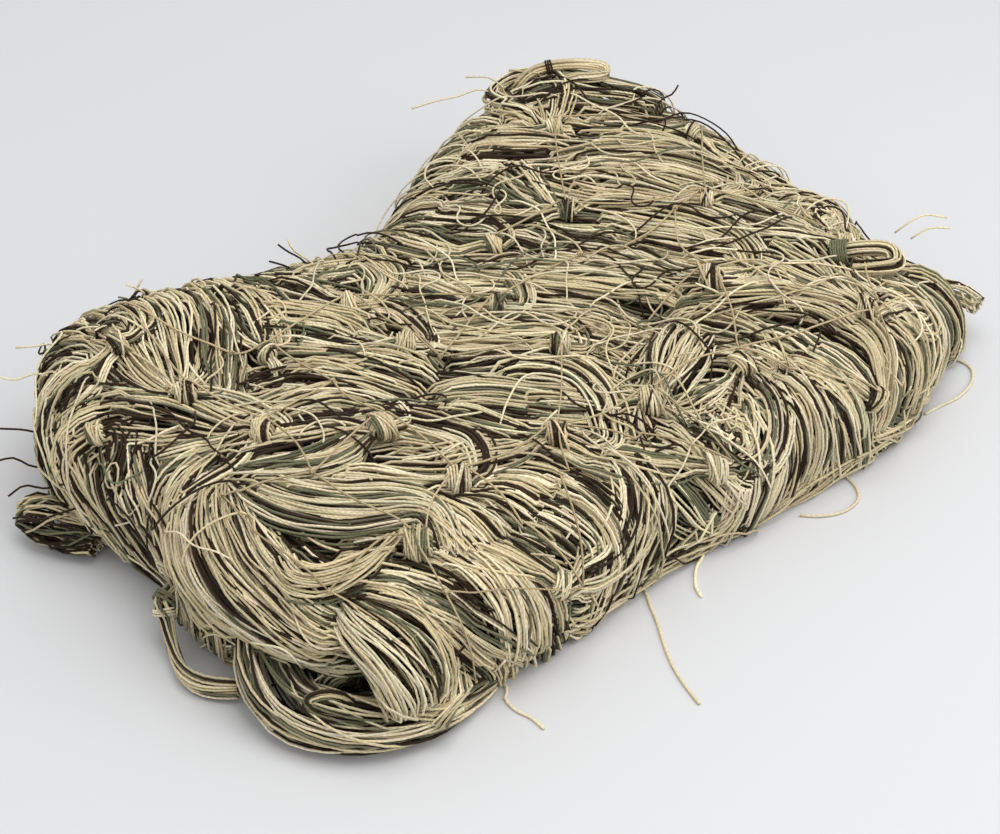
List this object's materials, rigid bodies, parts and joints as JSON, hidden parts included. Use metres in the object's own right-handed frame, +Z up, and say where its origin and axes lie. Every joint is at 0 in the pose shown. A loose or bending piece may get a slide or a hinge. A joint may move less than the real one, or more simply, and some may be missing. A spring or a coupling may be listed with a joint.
{
  "type": "camouflage net",
  "caption": "Camouflage net of fine twine with hanks of beige, olive and dark yarn knotted to its crossings, folded into a flat pack.",
  "frame": {"origin": "on the flat underside, near the middle of the folded pack", "axes": "+X along the pack to its right end, +Y from the folded front edge to the back, +Z up from the surface it rests on"},
  "size_m": [0.4983, 0.3911, 0.0905],
  "materials": {
    "net_yarn": "matte beige, olive and dark brown yarn over fine tan twine",
    "yarn": "matte synthetic yarn in beige, olive and dark brown",
    "loose_yarn": "matte beige yarn"
  },
  "bodies": {
    "root": {"drape_01": "yarn", "drape_02": "yarn", "drape_03": "yarn", "drape_04": "yarn", "drape_05": "yarn", "drape_06": "yarn", "drape_07": "yarn", "drape_08": "yarn", "drape_09": "yarn", "drape_10": "yarn", "drape_11": "yarn", "drape_12": "yarn", "drape_13": "yarn", "drape_14": "yarn", "drape_15": "yarn", "drape_16": "yarn", "folded_net": "net_yarn", "foot_roll": "yarn", "hank_01": "yarn", "hank_02": "yarn", "hank_03": "yarn", "hank_04": "yarn", "hank_05": "yarn", "hank_06": "yarn", "hank_07": "yarn", "hank_08": "yarn", "hank_09": "yarn", "hank_10": "yarn", "hank_11": "yarn", "hank_12": "yarn", "hank_13": "yarn", "hank_14": "yarn", "hank_15": "yarn", "hank_16": "yarn", "hank_17": "yarn", "hank_18": "yarn", "hank_19": "yarn", "hank_20": "yarn", "hank_21": "yarn", "hank_22": "yarn", "hank_23": "yarn", "hank_24": "yarn", "hank_25": "yarn", "hank_26": "yarn", "hank_27": "yarn", "hank_28": "yarn", "hank_29": "yarn", "left_hank": "yarn", "loop_band": "yarn", "loose_thread_1": "loose_yarn", "loose_thread_2": "loose_yarn", "loose_thread_3": "loose_yarn", "loose_thread_4": "loose_yarn", "loose_thread_5": "loose_yarn", "lump_01": "yarn", "right_loop_01": "yarn", "tip_hank": "yarn"}
  },
  "joints": []
}
